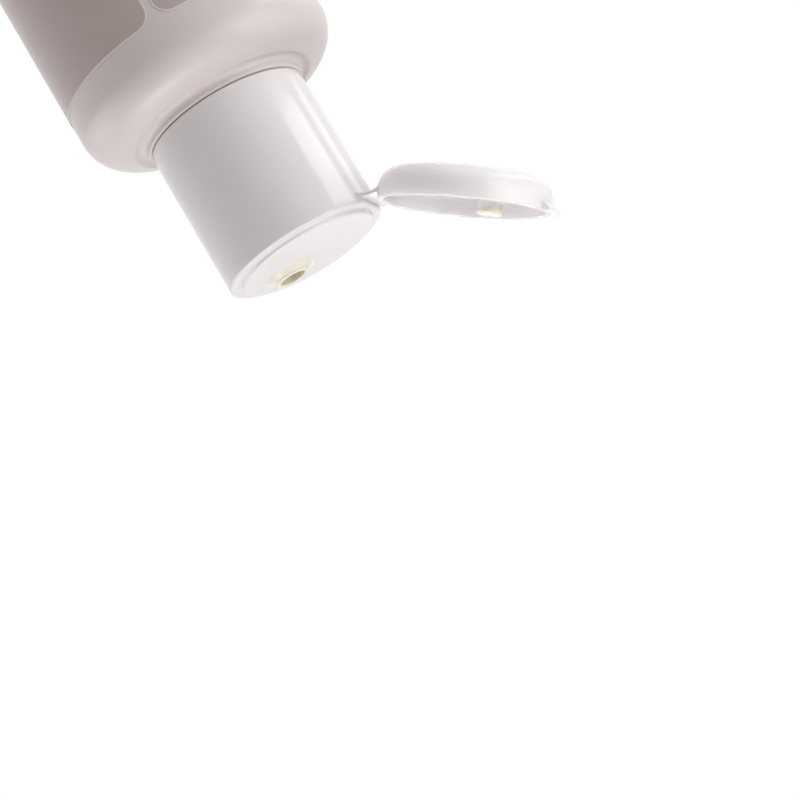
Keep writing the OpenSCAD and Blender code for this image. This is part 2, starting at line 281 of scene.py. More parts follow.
ripple = node(skin, "ShaderNodeTexNoise", Detail=2.0, Roughness=0.4)
grain = node(skin, "ShaderNodeTexNoise", Scale=2600.0, Detail=2.0, Roughness=0.5)
ripple_share = node(skin, "ShaderNodeMath", {"operation": "MULTIPLY"})
grain_share = node(skin, "ShaderNodeMath", {"operation": "MULTIPLY_ADD"})
join(skin, place.outputs["Object"], ripple.inputs["Vector"])
join(skin, skin_in.outputs["Ripple Size"], ripple.inputs["Scale"])
join(skin, place.outputs["Object"], grain.inputs["Vector"])
join(skin, ripple.outputs["Fac"], ripple_share.inputs[0])
join(skin, skin_in.outputs["Ripple"], ripple_share.inputs[1])
join(skin, grain.outputs["Fac"], grain_share.inputs[0])
join(skin, skin_in.outputs["Grain"], grain_share.inputs[1])
join(skin, ripple_share.outputs[0], grain_share.inputs[2])
join(skin, grain_share.outputs[0], skin_out.inputs["Height"])
print("node group:", skin.name, "with", len(skin.nodes), "nodes")


# %% Materials from the skin group
def plastic(name, colour, gloss, cloud=0.03, handling=0.08, ripple=1.0, ripple_size=60.0, grain=0.2,
            depth=0.00002, **shader):
    """A moulded plastic: the skin group feeds colour, roughness and a bump of the given depth."""
    made = bpy.data.materials.new(name)
    made.use_nodes = True
    tree = made.node_tree
    face = tree.nodes["Principled BSDF"]
    for socket, value in shader.items():
        face.inputs[socket.replace("_", " ")].default_value = value
    own_skin = node(tree, "ShaderNodeGroup", {"node_tree": skin}, Colour=(*colour, 1), Cloud=cloud,
                    Gloss=gloss, Handling=handling, Ripple=ripple, Ripple_Size=ripple_size, Grain=grain)
    bump = node(tree, "ShaderNodeBump", Strength=0.35, Distance=depth)
    join(tree, own_skin.outputs["Colour"], face.inputs["Base Color"])
    join(tree, own_skin.outputs["Roughness"], face.inputs["Roughness"])
    join(tree, own_skin.outputs["Height"], bump.inputs["Height"])
    join(tree, bump.outputs["Normal"], face.inputs["Normal"])
    return made


bottle_skin = plastic("bottle_satin", (0.75, 0.70, 0.68), gloss=0.32, cloud=0.03, ripple=1.2,
                      ripple_size=70.0, depth=0.00006)
cap_skin = plastic("cap_gloss", (0.87, 0.85, 0.86), gloss=0.11, cloud=0.02, handling=0.06, ripple=1.0,
                   ripple_size=110.0, depth=0.00002)
lid_skin = plastic("lid_gloss", (0.915, 0.89, 0.90), gloss=0.13, cloud=0.02, handling=0.06, ripple=1.0,
                   ripple_size=110.0, depth=0.00002, Subsurface_Weight=0.8, Subsurface_Scale=0.006,
                   Subsurface_Radius=(1.0, 1.0, 1.0))
# Painted shade: the film tone is the label's white, darkened and warmed to stand in for the shade across the
# label's middle. Painted highlight: the edge tone is the bright line along the cut edge.
film_tone_painted_shade, edge_tone_painted_highlight = (0.53, 0.46, 0.435), (0.95, 0.94, 0.94)
film_skin = plastic("label_film", film_tone_painted_shade, gloss=0.27, cloud=0.02, handling=0.0, ripple=0.6,
                    ripple_size=40.0, grain=0.0, depth=0.00003)
# Painted light: the strap and the thumb tab share the cap's plastic, painted lighter so that the shaded
# crevice of the strap looks lit.
strap_skin_painted_light = plastic("strap_gloss_painted_light", (0.94, 0.925, 0.93), gloss=0.16, cloud=0.02, handling=0.04, ripple=1.0,
                     ripple_size=110.0, depth=0.00001)
cream_skin = plastic("cleanser_cream", (0.92, 0.89, 0.72), gloss=0.12, cloud=0.04, ripple=1.0,
                     ripple_size=500.0, grain=0.0, depth=0.00005)

# %% [markdown]
# A film is cut with a blade, and its edge catches the light as a fine bright line, which is a painted
# highlight here. Each point of a film carries its distance from the edge as an attribute called border,
# in millimetres. The painted highlight fades out between 0.14 and 0.3 of a millimetre.

# %% The cut edge of the film, with its painted highlight
tree = film_skin.node_tree
border_value = node(tree, "ShaderNodeAttribute", {"attribute_name": "border"})
edge_highlight_share = node(tree, "ShaderNodeMapRange", {"interpolation_type": "SMOOTHSTEP"},
                  **{"From_Min": 0.14, "From_Max": 0.3, "To_Min": 0.75, "To_Max": 0.0})
film_shade_and_highlight = node(tree, "ShaderNodeMix", {"data_type": "RGBA"})
film_shade_and_highlight.inputs[6].default_value = (*film_tone_painted_shade, 1)
film_shade_and_highlight.inputs[7].default_value = (*edge_tone_painted_highlight, 1)
join(tree, border_value.outputs["Fac"], edge_highlight_share.inputs["Value"])
join(tree, edge_highlight_share.outputs["Result"], film_shade_and_highlight.inputs[0])
own_skin = next(made for made in tree.nodes if made.type == "GROUP")
join(tree, film_shade_and_highlight.outputs[2], own_skin.inputs["Colour"])
print("materials:", len(bpy.data.materials))

# %% [markdown]
# ## The bottle
#
# Dimensions are in millimetres from the middle of the base. The wall is straight, turns over a round
# shoulder into a shallow slope, and meets the neck ring across a soft crest and a small groove.

# %% Bottle dimensions
bottle_r, bottle_wall = 24.25, 1.0
heel_r, foot_out, foot_in, push_up = 4.0, 20.25, 17.25, 2.5
wall_top, shoulder_x, shoulder_r, slope = 103.0, 17.75, 6.5, 22.0
crest, crest_r = (17.65, 109.09), 0.9
groove, groove_r = (16.4, 110.65), 1.1
ring_r, ring_top = 15.3, 111.4
neck_r, bore_r, neck_top, bead_z, bead_h, bead_out = 9.9, 8.3, 137.7, 121.4, 0.8, 0.9
bore_low, shoulder_roof = 110.0, 108.55
seam = np.radians(-7.8)
line_height, line_width = 0.014, 0.13
pinch_height, pinch_width, pinch_end_r, pinch_fade = 0.28, 0.3, 13.5, 2.0


# %% Bottle profile
def bottle_profile():
    """Outside from the middle of the base to the mouth, then the inside back down to the axis."""
    dome_r = (foot_in ** 2 + push_up ** 2) / (2 * push_up)
    half = math.degrees(math.asin(foot_in / dome_r))
    turn_in = math.degrees(math.atan2(groove[1] - crest[1], groove[0] - crest[0]))
    base = arc(0, push_up - dome_r, dome_r, 90, 90 - half + 2.2, 14)
    foot = soften([(*base[-1], 0), (foot_in + 0.5, 0, 0.6), (foot_out - 0.2, 0, 0)], 5)
    heel = arc(foot_out, heel_r, heel_r, -90, 0, 16)
    shoulder = arc(shoulder_x, wall_top, shoulder_r, 0, 90 - slope, 20)
    over = arc(*crest, crest_r, 90 - slope, turn_in, 8)
    under = arc(*groove, groove_r, turn_in - 180, -180, 12)
    ring = arc(ring_r - 0.3, ring_top - 0.3, 0.3, 0, 90, 6)
    bead = neck_r + bead_out
    neck = soften([(neck_r + 1, ring_top, 0), (neck_r, ring_top, 0.3), (neck_r, bead_z, 0.2),
                   (bead, bead_z, 0.2), (bead, bead_z + bead_h, 0.2),
                   (neck_r, bead_z + bead_h + 2 * bead_out, 0.2), (neck_r, neck_top, 0.3),
                   (bore_r, neck_top, 0.2), (bore_r, bore_low, 0)], 4)
    inside = np.vstack([
        soften([(bore_r, bore_low, 0), (bore_r, shoulder_roof, 1.2), (groove[0], shoulder_roof, 0)], 6)[1:],
        arc(shoulder_x, wall_top, shoulder_r - bottle_wall, 0, 90 - slope, 12)[::-1],
        arc(foot_out, heel_r, heel_r - bottle_wall, -90, 0, 10)[::-1],
        arc(0, push_up + bottle_wall - dome_r, dome_r, 90, 90 - half, 10)[::-1]])
    outside = np.vstack([base[:-1], foot, heel, shoulder, over, under, ring])
    return np.vstack([outside, neck, inside]), len(outside)


# %% [markdown]
# A blown bottle shows where the two halves of its mould met: a hair-thin line down both sides,
# between the labels, and a welded ridge across the base where the soft tube was pinched off.


# %% Bottle shell
def with_parting_line(grid, outer_rows):
    """Raise a fine line on the outside, height times exp(-(distance / width)^2), where distance is
    measured from the upright plane in which the mould halves meet. Across the base it hangs down."""
    shell = grid[:outer_rows]
    radius = np.hypot(shell[..., 0], shell[..., 1])
    angle = np.arctan2(shell[..., 1], shell[..., 0]) - seam
    distance = radius * np.abs(np.sin(angle))
    side = line_height * np.exp(-(distance / line_width) ** 2) * (shell[..., 2] > heel_r)
    pinch = pinch_height * np.exp(-(distance / pinch_width) ** 2)
    pinch *= np.clip((pinch_end_r - radius) / pinch_fade, 0, 1)
    shell[..., 0] += side * np.cos(angle + seam)
    shell[..., 1] += side * np.sin(angle + seam)
    shell[..., 2] -= pinch * (shell[..., 2] < heel_r)
    return grid


near_seam = np.radians(np.concatenate([np.linspace(-2, 2, 17), np.linspace(-0.5, 0.5, 9)]))
bottle_angles = np.unique(np.round(np.concatenate([
    round_angles(240), (seam + near_seam) % (2 * np.pi), (seam + np.pi + near_seam) % (2 * np.pi)]), 6))
bottle_rows, outer_rows = bottle_profile()
shell_grid = with_parting_line(turned(bottle_rows, bottle_angles), outer_rows)
piece("bottle_shell", [shell_grid], "bottle", bottle_skin, ["bottle"])

# %% [markdown]
# ## The labels
#
# Two film labels go half way round each and leave a narrow bare strip between them. A film is only a
# tenth of a millimetre thick, but its cut edge catches the light, so it gets real thickness and
# rounded corners.

# %% Label film
film_in, film_out = bottle_r + 0.05, bottle_r + 0.15
film_low, film_high, film_gap, film_corner = 8.0, 98.7, 1.2, 3.0


def film_grid(centre):
    """One label as a closed sheet. Across runs the angle, up the height; at a corner the ends follow
    a quarter circle. Each column goes up the outside and comes down the inside."""
    half = math.pi / 2 - math.asin((film_gap / 2 + 0.1) / bottle_r)
    corner = film_corner / film_out
    quarter = np.linspace(0, np.pi / 2, 13)
    bend = half - corner * (1 - np.cos(quarter))
    cut = film_corner * (1 - np.sin(quarter))
    flat = np.linspace(-(half - corner), half - corner, 97)[1:-1]
    across = np.concatenate([-bend, flat, bend[::-1]])
    trim = np.concatenate([cut, 0 * flat, cut[::-1]])
    near = np.array([0, 0.15, 0.3, 0.45, 0.7, 1.2]) / (film_high - film_low)
    share = np.concatenate([near, np.linspace(0.03, 0.97, 31), 1 - near[::-1]])[:, None]
    height = film_low + trim + share * (film_high - film_low - 2 * trim)
    angle = centre + across[None] + 0 * share
    middle = (film_in + film_out) / 2
    loop_height = np.vstack([height, height[::-1]])
    loop_angle = np.vstack([angle, angle])
    loop_radius = np.vstack([film_out + 0 * height, film_in + 0 * height])
    grid = np.stack([loop_radius * np.cos(loop_angle), loop_radius * np.sin(loop_angle), loop_height], -1)
    ends = [grid[:, :1].copy(), grid[:, -1:].copy()]
    for end in ends:
        flatten = middle / np.hypot(end[..., 0], end[..., 1])
        end[..., 0] *= flatten
        end[..., 1] *= flatten
    beside = np.hstack([across[:1], across, across[-1:]]) * film_out
    level = np.hstack([loop_height[:, :1], loop_height, loop_height[:, -1:]])
    over_x = np.abs(beside)[None] - (half * film_out - film_corner)
    over_z = np.abs(level - (film_low + film_high) / 2) - ((film_high - film_low) / 2 - film_corner)
    border = (np.hypot(np.maximum(over_x, 0), np.maximum(over_z, 0))
              + np.minimum(np.maximum(over_x, over_z), 0) - film_corner)
    return np.hstack([ends[0], grid, ends[1]]), -border


for name, centre in (("front_label", 1.5 * np.pi), ("back_label", 0.5 * np.pi)):
    film, border = film_grid(centre + seam)
    sheet = np.swapaxes(film, 0, 1)
    piece(f"{name}_film", [sheet], "bottle", film_skin, [name], marks={"border": border.T})

# %% [markdown]
# ## The cap
#
# The cap is one moulding: an outer skirt, a ledge for the lid's rim, a raised deck and a nozzle that
# stands off the middle. The whole skin is one grid. Its rows start round the cap's own axis, and on
# the deck their centre slides over to the nozzle's axis while their radius shrinks.

# %% Cap dimensions
round_steps = 256
cap_r, cap_low, rim_z, deck_z, ceiling_z, deck_r, skirt_in = 15.0, 111.6, 139.8, 140.6, 139.0, 13.0, 13.7
nozzle_y, nozzle_in, nozzle_out, nozzle_top, nozzle_foot = -4.5, 2.5, 3.3, 142.5, 3.5
plug_ring_in, plug_ring_out, plug_ring_low = 7.4, 8.2, 134.5
stop_in, stop_out, stop_low = 8.6, 9.6, 137.75
sleeve_in, sleeve_out, sleeve_low = 11.0, 12.0, 112.6
snap_r, snap_top, snap_low, snap_ramp_low = 10.1, 121.2, 120.4, 118.6
rib_in, rib_out, rib_low, rib_top, rib_t = 11.5, 14.3, 127.0, 139.5, 0.8
hinge_y, hinge_z, strap_l, strap_w, strap_t, fold = 14.5, 138.75, 2.1, 12.4, 0.5, -71.5
notch_low, flat_y, deck_flat_r = 138.28, 14.05, 12.0


# %% Cap skin
def cap_rows():
    """Rows of radius, height and centre: up the skirt, over the rim and the ledge, across the deck,
    up the nozzle's elliptical slope, over its lip and down the bore, then back along the inside, round
    the plug ring, the stop ring and the sleeve with its snap bead."""
    outer = soften([(skirt_in, cap_low, 0), (cap_r, cap_low, 0.25), (cap_r, notch_low - 0.01, 0),
                    (cap_r, notch_low + 0.01, 0), (cap_r, rim_z, 0.4), (deck_r, rim_z, 0.25),
                    (deck_r, deck_z, 0.4), (deck_flat_r, deck_z, 0)], 8)
    slide = np.linspace(0, 1, 8)[1:, None]
    wide = nozzle_out + nozzle_foot
    across = np.hstack([deck_flat_r + (wide - deck_flat_r) * slide, deck_z + 0 * slide])
    rise = np.radians(np.linspace(0, 90, 22))[1:-3]
    slope_up = np.stack([nozzle_out + nozzle_foot * (1 - np.sin(rise)),
                         deck_z + (nozzle_top - deck_z) * (1 - np.cos(rise))], axis=1)
    lip = soften([(*slope_up[-1], 0), (nozzle_out, nozzle_top, 0.3), (nozzle_in, nozzle_top, 0.3),
                  (nozzle_in, ceiling_z, 0)], 8)[1:]
    inner = soften([(plug_ring_in, ceiling_z, 0), (plug_ring_in, plug_ring_low, 0.2),
                    (plug_ring_out, plug_ring_low, 0.2), (plug_ring_out, ceiling_z, 0.2),
                    (stop_in, ceiling_z, 0.1), (stop_in, stop_low, 0.1), (stop_out, stop_low, 0.1),
                    (stop_out, ceiling_z, 0.2), (sleeve_in, ceiling_z, 0.2), (sleeve_in, snap_top, 0),
                    (snap_r, snap_top, 0.15), (snap_r, snap_low, 0.15), (sleeve_in, snap_ramp_low, 0),
                    (sleeve_in, sleeve_low, 0.2), (sleeve_out, sleeve_low, 0.2),
                    (sleeve_out, ceiling_z, 0.2), (skirt_in, ceiling_z, 0.2), (skirt_in, cap_low, 0)], 3)
    rows = np.vstack([outer, across, slope_up, lip, inner[:-1]])
    centre = np.concatenate([0 * outer[:, 0], nozzle_y * slide[:, 0], nozzle_y + 0 * slope_up[:, 0],
                             nozzle_y + 0 * lip[:, 0], 0 * inner[:-1, 0]])
    return rows, centre


def flatten_for_strap(grid, low, high):
    """Between two heights the wall behind the strap is cut back to a flat: y is at most flat_y."""
    behind = (grid[..., 2] > low) & (grid[..., 2] < high) & (grid[..., 1] > 10)
    grid[..., 1] = np.where(behind, np.minimum(grid[..., 1], flat_y), grid[..., 1])
    return grid


# %% [markdown]
# Small mouldings such as the ribs, the strap and the thumb tab are a side profile carried across
# their width. Their two ends are rounded over: near an end the profile shrinks towards its own
# middle as the quarter circle of the end runs out.


# %% Profiles carried across
def carried(side, width, end_r=0.2, steps=5, across=9):
    """A closed side profile of y and z carried along x. In the last end_r of the width the profile
    is drawn in by end_r (1 - cos(angle)) while x runs on by end_r sin(angle)."""
    middle = (side.max(axis=0) + side.min(axis=0)) / 2
    size = (side.max(axis=0) - side.min(axis=0)) / 2
    angle = np.radians(np.linspace(0, 90, steps + 1))
    run = width / 2 - end_r + end_r * np.sin(angle)
    draw = end_r * (1 - np.cos(angle))
    x = np.concatenate([-run[::-1], np.linspace(-run[0], run[0], across)[1:-1], run])
    drawn = np.concatenate([draw[::-1], np.zeros(across - 2), draw])
    shrink = 1 - drawn[:, None] / size[None]
    ring = middle + (side - middle)[None] * shrink[:, None]
    grid = np.concatenate([np.broadcast_to(x[:, None, None], (*ring.shape[:2], 1)), ring], axis=-1)
    first, last = grid[:1].copy(), grid[-1:].copy()
    first[..., 1:] = middle
    last[..., 1:] = middle
    return np.concatenate([first, grid, last])


def swing(points, y, z, degrees):
    """Turn points about the line through (y, z) that runs along x."""
    cos, sin = math.cos(math.radians(degrees)), math.sin(math.radians(degrees))
    dy, dz = points[..., 1] - y, points[..., 2] - z
    return np.stack([points[..., 0], y + cos * dy - sin * dz, z + sin * dy + cos * dz], axis=-1)


def with_strap(points):
    """From the closed place to the open one, with the strap."""
    return swing(points, hinge_y, hinge_z, fold)


def with_lid(points):
    """From the closed place to the open one, with the lid: first its own fold, then the strap's."""
    return with_strap(swing(points, hinge_y, hinge_z + strap_l, fold))


# %% Cap piece
rows, centre = cap_rows()
cap_grid = flatten_for_strap(turned(rows, round_angles(round_steps), centre), notch_low, rim_z + 0.1)
rib_turns = np.radians(45.0 + 90.0 * np.arange(4))


def rib_grids():
    """Four plates under the deck, each a closed side profile of radius and height turned to its
    own direction round the axis."""
    side = np.array([(rib_in, rib_low), (rib_out, rib_low), (rib_out, rib_top), (rib_in, rib_top)])
    plate = carried(side, rib_t, 0.05, 1, 2)
    made = []
    for direction in rib_turns:
        cos, sin = np.cos(direction), np.sin(direction)
        made.append(np.stack([plate[..., 1] * cos - plate[..., 0] * sin,
                              plate[..., 1] * sin + plate[..., 0] * cos, plate[..., 2]], axis=-1))
    return made


piece("flip_top_cap", [cap_grid, *rib_grids()], "bottle", cap_skin,
      ["cap"], loops=[True] + [False] * len(rib_turns))

# %% [markdown]
# ## The lid
#
# The lid is drawn closed, rim down, and then swung open about its two bending lines. Outside it is a
# short wall, a round edge and a very flat dome. Inside, the rows slide over to the plug's axis and run
# down the plug, so that the lid and its plug are one skin.

# %% Lid
lid_z, lid_h, lid_wall, lid_edge_r, dome_r = 139.9, 6.6, 1.2, 3.6, 90.0
plug_r, plug_reach, plug_fillet, plug_end_r, strap_flat_h = 2.2, 1.2, 0.9, 0.8, 1.42
tab_w, tab_tip_y, tab_end_r = 8.0, 16.3, 0.25


def lid_grid():
    """The closed lid with its rim at height 0. Under the dome the height is that of a sphere,
    middle + sqrt(radius^2 - x^2 - y^2), at every point of the sliding rows."""
    edge_x = cap_r - lid_edge_r
    dome_z = lid_h - dome_r
    edge_z = dome_z + math.sqrt((dome_r - lid_edge_r) ** 2 - edge_x ** 2)
    lean = math.degrees(math.asin(edge_x / (dome_r - lid_edge_r)))
    top = arc(0, dome_z, dome_r, 90, 90 - lean, 12)[:-1]
    edge = arc(edge_x, edge_z, lid_edge_r, 90 - lean, 0, 20)
    rim = soften([(cap_r, edge_z, 0), (cap_r, strap_flat_h + 0.01, 0), (cap_r, strap_flat_h - 0.01, 0),
                  (cap_r, 0, 0.2),
                  (cap_r - lid_wall, 0, 0.2), (cap_r - lid_wall, edge_z, 0)], 5)[1:-1]
    inner_edge = arc(edge_x, edge_z, lid_edge_r - lid_wall, 0, 90 - lean, 14)
    rows = np.vstack([top, edge, rim, inner_edge])
    angles = round_angles(round_steps)
    shell = turned(rows, angles)
    slide = np.linspace(0, 1, 16)[1:, None]
    foot = plug_r + plug_fillet
    start = inner_edge[-1, 0]
    under = turned(np.hstack([start + (foot - start) * slide, 0 * slide]), angles, nozzle_y * slide)
    reach = (dome_r - lid_wall) ** 2 - under[..., 0] ** 2 - under[..., 1] ** 2
    under[..., 2] = dome_z + np.sqrt(reach)
    root_z = under[-1, :, 2].mean()
    fillet = arc(foot, root_z - plug_fillet, plug_fillet, 90, 180, 8)[1:]
    plug_side = soften([(plug_r, root_z - plug_fillet, 0), (plug_r, -plug_reach, plug_end_r),
                        (0, -plug_reach, 0)], 8)[1:]
    plug = turned(np.vstack([fillet, plug_side]), angles, nozzle_y)
    return np.concatenate([shell, under, plug])


closed_lid = flatten_for_strap(lid_grid(), -0.1, strap_flat_h)
closed_lid[..., 2] += lid_z
piece("flip_top_lid", [with_lid(closed_lid)], "lid", lid_skin, ["lid"])

# %% [markdown]
# The thumb tab stands out at the front of the rim. Its side profile is written with y towards the
# back, like everything here, and is then bent round the lid: y moves back by
# tip - sqrt(tip^2 - x^2), where tip is how far the tab reaches out.

# %% Thumb tab
tab_side = soften([(-14.2, 0.05, 0), (-15.3, 0.0, 0.3), (-16.3, -0.3, 0.2), (-16.35, 0.5, 0.3),
                   (-15.5, 1.3, 0.5), (-14.4, 1.6, 0)], 4)
tab_grid = carried(tab_side, tab_w, tab_end_r)
tab_grid[..., 1] += tab_tip_y - np.sqrt(tab_tip_y ** 2 - tab_grid[..., 0] ** 2)
tab_grid[..., 2] += lid_z
piece("thumb_tab", [with_lid(tab_grid)], "lid", strap_skin_painted_light)

# %% [markdown]
# ## The strap
#
# A short flat strap joins the cap and the lid, and bends along two lines at its ends. Towards each
# end it swells into a flare that runs out on the wall it is moulded to. The two flares are pieces of
# their own, laid once in the open pose and attached to no body.
# The lid's flare is the mirror image of the cap's across the middle of the strap. Their roots end
# inside the wall, at a fixed radius round the cap's axis, so that they never show on its inner side.

# %% Strap plate
strap_past, strap_edge_r, strap_slack = 0.05, 0.2, 0.1
strap_front, strap_back = hinge_y - strap_t / 2, hinge_y + strap_t / 2
strap_low, strap_high = hinge_z - strap_past, hinge_z + strap_l + strap_past
strap_side = soften([(strap_front, hinge_z + strap_l / 2, 0),
                     (strap_front, strap_low, strap_edge_r), (strap_back, strap_low, strap_edge_r),
                     (strap_back, strap_high, strap_edge_r), (strap_front, strap_high, strap_edge_r),
                     (strap_front, hinge_z + strap_l / 2, 0)], 5)[:-1]
piece("hinge_strap_plate", [with_strap(carried(strap_side, strap_w - strap_slack, 0.12))], "strap",
      strap_skin_painted_light, ["hinge_strap"])


# %% Flares at both ends of the strap
def bezier(first, pull, last, count=17):
    """A curve through first and last that is drawn towards pull: (1-t)^2 first + 2t(1-t) pull + t^2 last."""
    t = np.linspace(0, 1, count)[:, None]
    return (1 - t) ** 2 * np.array(first) + 2 * t * (1 - t) * np.array(pull) + t ** 2 * np.array(last)


def flare(upper, lower, width, end_r=0.16, steps=5, across=9):
    """The solid between two curves of y and z, carried along x. At both ends each curve moves towards
    the line half way between them by end_r (1 - cos(angle)) while x runs on by end_r sin(angle)."""
    middle = (upper + lower) / 2
    half = np.linalg.norm(upper - lower, axis=1, keepdims=True) / 2
    angle = np.radians(np.linspace(0, 90, steps + 1))
    run = width / 2 - end_r + end_r * np.sin(angle)
    draw = end_r * (1 - np.cos(angle))
    x = np.concatenate([-run[::-1], np.linspace(-run[0], run[0], across)[1:-1], run])
    drawn = np.concatenate([draw[::-1], np.zeros(across - 2), draw])[:, None, None]
    shrink = 1 - drawn / half
    loop = np.concatenate([middle + (upper - middle) * shrink,
                           (middle + (lower - middle) * shrink)[:, ::-1]], axis=1)
    grid = np.concatenate([np.broadcast_to(x[:, None, None], (*loop.shape[:2], 1)), loop], axis=-1)
    first, last = grid[:1].copy(), grid[-1:].copy()
    first[..., 1:] = last[..., 1:] = np.vstack([middle, middle[::-1]])
    return np.concatenate([first, grid, last])


# %% Lay the flares on the two bending lines
line_a = np.array([hinge_y, hinge_z])
line_b = with_strap(np.array([[0, hinge_y, hinge_z + strap_l]]))[0, 1:]
along = (line_b - line_a) / strap_l
square = np.array([-along[1], along[0]])
halfway = (line_a + line_b) / 2
upper = bezier((13.2, 138.56), (14.3, 138.83), halfway + 0.26 * square)
lower = bezier((13.2, 137.1), (14.5, 138.4), halfway + 0.15 * along - 0.27 * square)
cap_flare = flare(upper, lower, strap_w)
root_r = 13.93
cap_flare[..., 1] = np.maximum(cap_flare[..., 1], np.sqrt(root_r ** 2 - cap_flare[..., 0] ** 2))
lid_flare = cap_flare.copy()
lid_flare[..., 1:] -= 2 * ((cap_flare[..., 1:] - halfway) @ along)[..., None] * along

for name, bodies, grid, spot in (("strap_flare_cap", ("bottle", "strap"), cap_flare, line_a),
                                 ("strap_flare_lid", ("strap", "lid"), lid_flare, line_b)):
    strip = piece(name, [grid], None, strap_skin_painted_light)
    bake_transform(strip)

# %% [markdown]
# ## The cleanser
#
# Inside the bottle the cleanser keeps its plain solid and only gets its colour. A thin smear of it
# has stayed on the nozzle and on the end of the plug. A smear is a film that follows the surface under
# it. Its thickness falls smoothly to below the surface where the smear ends, along an edge that waves
# as a few sines of the angle round the nozzle.

# %% Cream
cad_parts["cleanser"].data.materials.clear()
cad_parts["cleanser"].data.materials.append(cream_skin)


smear_under, smear_sunk = 0.06, 0.03


def eased(share):
    """From 0 to 1 without a kink: 3 share^2 - 2 share^3."""
    return share * share * (3 - 2 * share)


def smear(profile, angles, thickness, middle):
    """A film over a turned surface: each point of the profile moves out along its normal by the
    thickness there, and the underside follows just below the surface, which closes the film."""
    ahead = np.gradient(profile, axis=0)
    ahead /= np.linalg.norm(ahead, axis=1, keepdims=True)
    normal = np.stack([ahead[:, 1], -ahead[:, 0]], axis=1)
    upper = profile[:, None] + normal[:, None] * thickness[..., None]
    lower = profile[:, None] - normal[:, None] * smear_under + 0 * thickness[..., None]
    both = np.concatenate([upper, lower[::-1]])
    return np.stack([both[..., 0] * np.cos(angles), middle + both[..., 0] * np.sin(angles), both[..., 1]],
                    axis=-1)


# %% The smear on the nozzle
smear_angles = round_angles(160)
lip_line = np.vstack([
    soften([(5.0, deck_z + 0.2, 0), (4.1, deck_z + 0.66, 1.0), (nozzle_out, nozzle_top - 0.3, 0)], 10)[1:-1],
    soften([(nozzle_out, nozzle_top - 0.35, 0), (nozzle_out, nozzle_top, 0.3), (nozzle_in, nozzle_top, 0.3),
            (nozzle_in, nozzle_top - 0.6, 0)], 8)[:-1],
    np.linspace((nozzle_in, nozzle_top - 0.6), (nozzle_in, ceiling_z + 0.3), 8)])
steps = np.linalg.norm(np.diff(lip_line, axis=0), axis=1)
run = np.concatenate([[0], np.cumsum(steps)])[:, None]
to_front = np.cos(smear_angles - math.radians(-115))
wave = (np.sin(3 * smear_angles + 0.7) + 0.6 * np.sin(7 * smear_angles + 2.1)
        + 0.35 * np.sin(13 * smear_angles + 0.4)) / 1.95
outer_edge = 2.95 - 0.95 * np.clip(to_front, -0.2, 1) ** 2 + 0.24 * wave
cover = np.clip((run - outer_edge) / 0.35, 0, 1) * np.clip((run[-1] - run) / 0.8, 0, 1)
lip_film = eased(cover) * (0.09 + 0.07 * np.clip(to_front, 0, 1) + 0.02 * wave) - smear_sunk
piece("nozzle_cream", [smear(lip_line[::-1], smear_angles, lip_film[::-1], nozzle_y)],
      "bottle", cream_skin, loops=[True])

# %% The smear on the plug
plug_line = soften([(plug_r, 1.9, 0), (plug_r, -plug_reach, plug_end_r), (0.02, -plug_reach, 0)], 12)
plug_line = np.vstack([np.linspace(plug_line[0], plug_line[1], 12)[:-1], plug_line[1:]])
height = plug_line[:, 1:] + 0 * smear_angles
plug_edge = -0.5 + 0.9 * np.cos(smear_angles + 2.2) + 0.3 * np.sin(5 * smear_angles + 1.4)
plug_cover = np.clip((plug_edge - height) / 0.5, 0, 1)
plug_film = eased(plug_cover) * 0.08 - smear_sunk
plug_smear_grid = smear(plug_line[::-1], smear_angles, plug_film[::-1], nozzle_y)
plug_smear_grid[..., 2] += lid_z
piece("plug_cream", [with_lid(plug_smear_grid)], "lid", cream_skin, loops=[True])

# %% [markdown]
# ## Floor and light
#
# The picture is a plain white studio. The floor is plain and pale, and keeps the soft shadow round the
# base. Farther out it fades to white for the camera. Large soft lamps stand behind the hinge, in front
# and overhead. Two low strip lamps draw the long highlights down the cap, since the camera looks down
# on the bottle and its upright walls reflect what stands low. Two small lamps reach into the open lid,
# and a faint one stands beside the cap.


# %% Rays that see the backdrop
def seen_directly(tree):
    """A socket that is 1 for camera, glossy and transmission rays, and 0 for the rays that carry light."""
    path = node(tree, "ShaderNodeLightPath")
    camera_or_gloss = node(tree, "ShaderNodeMath", {"operation": "MAXIMUM"})
    seen = node(tree, "ShaderNodeMath", {"operation": "MAXIMUM"})
    join(tree, path.outputs["Is Camera Ray"], camera_or_gloss.inputs[0])
    join(tree, path.outputs["Is Glossy Ray"], camera_or_gloss.inputs[1])
    join(tree, camera_or_gloss.outputs[0], seen.inputs[0])
    join(tree, path.outputs["Is Transmission Ray"], seen.inputs[1])
    return seen.outputs[0]


